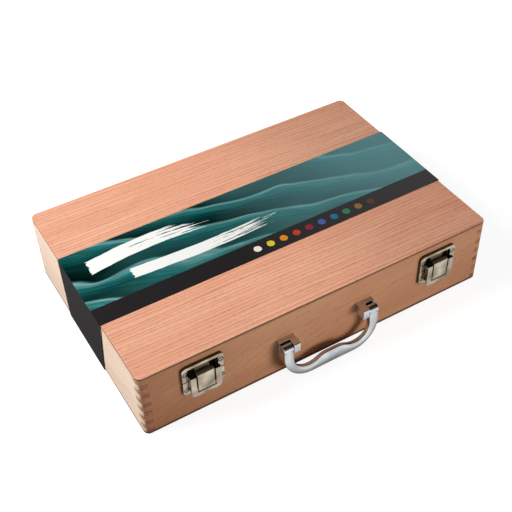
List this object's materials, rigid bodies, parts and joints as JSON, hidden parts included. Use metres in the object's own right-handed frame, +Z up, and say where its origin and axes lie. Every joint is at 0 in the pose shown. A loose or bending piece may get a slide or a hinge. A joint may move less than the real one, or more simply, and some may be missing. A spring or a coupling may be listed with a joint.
{
  "type": "oil paint set",
  "caption": "Hinged finger-jointed wooden case with draw latches, a bow handle and a printed card band, holding paint tubes, bottles, brushes and a palette.",
  "frame": {"origin": "centre of the case on the surface that the set lies on, at the underside of the card band", "axes": "+X along the case to the right of someone facing the latches, +Y from the latches to the hinges, +Z up"},
  "size_m": [0.4018, 0.2881, 0.0819],
  "materials": {
    "board_wood": "clear satin lacquer on beech",
    "panel_wood": "clear satin lacquer on veneer",
    "fitting_wood": "sanded",
    "palette_wood": "oiled",
    "latch_nickel": "bright nickel plate",
    "handle_chrome": "polished",
    "hinge_brass": "satin",
    "screw_steel": "zinc plate",
    "band_card": "printed, satin",
    "tube_foil": "painted foil",
    "tube_cap_plastic": "moulded",
    "bottle_glass": "clear",
    "bottle_cap_plastic": "moulded",
    "brush_lacquer": "gloss lacquer",
    "ferrule_metal": "nickel plate",
    "brush_hair": "natural bristle"
  },
  "bodies": {
    "case": {"base_front_board": "board_wood", "base_back_board": "board_wood", "base_left_board": "board_wood", "base_right_board": "board_wood", "bottom_panel": "panel_wood", "long_divider": "fitting_wood", "cross_divider": "fitting_wood", "tube_rack": "fitting_wood", "fold_bar": "fitting_wood", "brush_rest_tail": "fitting_wood", "brush_rest_grip": "fitting_wood", "base_hinge_leaf_left": "hinge_brass", "base_hinge_leaf_right": "hinge_brass", "hinge_pins": "hinge_brass", "base_hinge_screws": "hinge_brass", "latch_plate_left": "latch_nickel", "latch_plate_right": "latch_nickel", "lever_rivets": "latch_nickel", "latch_plate_screws": "latch_nickel", "handle_bracket_left": "handle_chrome", "handle_bracket_right": "handle_chrome", "handle_pins": "handle_chrome", "bracket_screws": "screw_steel", "bottle_front": "bottle_glass", "bottle_rear": "bottle_glass", "paint_tubes": "tube_foil", "tube_caps": "tube_cap_plastic", "brush_handles": "brush_lacquer", "brush_ferrules": "ferrule_metal", "brush_bristles": "brush_hair"},
    "lid": {"lid_front_board": "board_wood", "lid_back_board": "board_wood", "lid_left_board": "board_wood", "lid_right_board": "board_wood", "top_panel": "panel_wood", "palette": "palette_wood", "palette_rail_left": "fitting_wood", "palette_rail_right": "fitting_wood", "button_screws": "hinge_brass", "lid_hinge_leaf_left": "hinge_brass", "lid_hinge_leaf_right": "hinge_brass", "lid_hinge_screws": "hinge_brass", "keeper_left": "latch_nickel", "keeper_right": "latch_nickel", "keeper_screws": "latch_nickel"},
    "handle": {"handle_bow": "handle_chrome"},
    "lever_left": {"lever_left": "latch_nickel", "claw_pin_left": "latch_nickel"},
    "claw_left": {"claw_left": "latch_nickel"},
    "lever_right": {"lever_right": "latch_nickel", "claw_pin_right": "latch_nickel"},
    "claw_right": {"claw_right": "latch_nickel"},
    "sleeve_upper": {"sleeve_upper": "band_card"},
    "sleeve_lower": {"sleeve_bottom": "band_card", "sleeve_side_left": "band_card", "sleeve_side_right": "band_card"},
    "turn_button_left": {"turn_button_left": "hinge_brass"},
    "turn_button_right": {"turn_button_right": "hinge_brass"},
    "bottle_cap_front": {"bottle_cap_front": "bottle_cap_plastic"},
    "bottle_cap_rear": {"bottle_cap_rear": "bottle_cap_plastic"}
  },
  "joints": [
    {"name": "lid_hinge", "type": "hinge", "parent": "case", "child": "lid", "pos_m": [0, 0.13385, 0.05347], "axis": [-1, 0, 0], "range_deg": [0, 100]},
    {"name": "handle_swing", "type": "hinge", "parent": "case", "child": "handle", "pos_m": [0, -0.1415, 0.0432], "axis": [-1, 0, 0], "range_deg": [0, 165]},
    {"name": "lever_left_turn", "type": "hinge", "parent": "case", "child": "lever_left", "pos_m": [-0.1365, -0.1376, 0.05937], "axis": [-1, 0, 0], "range_deg": [0, 115]},
    {"name": "claw_left_turn", "type": "hinge", "parent": "lever_left", "child": "claw_left", "pos_m": [-0.1365, -0.1374, 0.04897], "axis": [-1, 0, 0], "range_deg": [-17.25, 0]},
    {"name": "lever_right_turn", "type": "hinge", "parent": "case", "child": "lever_right", "pos_m": [0.1365, -0.1376, 0.05937], "axis": [-1, 0, 0], "range_deg": [0, 115]},
    {"name": "claw_right_turn", "type": "hinge", "parent": "lever_right", "child": "claw_right", "pos_m": [0.1365, -0.1374, 0.04897], "axis": [-1, 0, 0], "range_deg": [-17.25, 0]},
    {"name": "sleeve_upper_slide", "type": "slide", "parent": "lid", "child": "sleeve_upper", "axis": [0, -1, 0], "range_m": [-0.19, 0.19]},
    {"name": "sleeve_lower_slide", "type": "slide", "parent": "case", "child": "sleeve_lower", "axis": [0, -1, 0], "range_m": [-0.19, 0.19]},
    {"name": "turn_button_left_turn", "type": "hinge", "parent": "lid", "child": "turn_button_left", "pos_m": [-0.185, 0, 0.0727], "axis": [0, 0, 1], "range_deg": [-90, 90]},
    {"name": "turn_button_right_turn", "type": "hinge", "parent": "lid", "child": "turn_button_right", "pos_m": [0.185, 0, 0.0727], "axis": [0, 0, 1], "range_deg": [-90, 90]},
    {"name": "bottle_cap_front_turn", "type": "hinge", "parent": "case", "child": "bottle_cap_front", "pos_m": [-0.1, -0.0999, 0.02504], "axis": [-1, 0, 0], "range_deg": [0, 540]},
    {"name": "bottle_cap_rear_turn", "type": "hinge", "parent": "case", "child": "bottle_cap_rear", "pos_m": [-0.1, -0.0573, 0.02504], "axis": [-1, 0, 0], "range_deg": [0, 540]}
  ],
  "couplings": [
    {"joint": "claw_left_turn", "follows": "lever_left_turn", "ratio": -0.15},
    {"joint": "claw_right_turn", "follows": "lever_right_turn", "ratio": -0.15},
    {"joint": "sleeve_upper_slide", "follows": "sleeve_lower_slide", "ratio": 1}
  ]
}
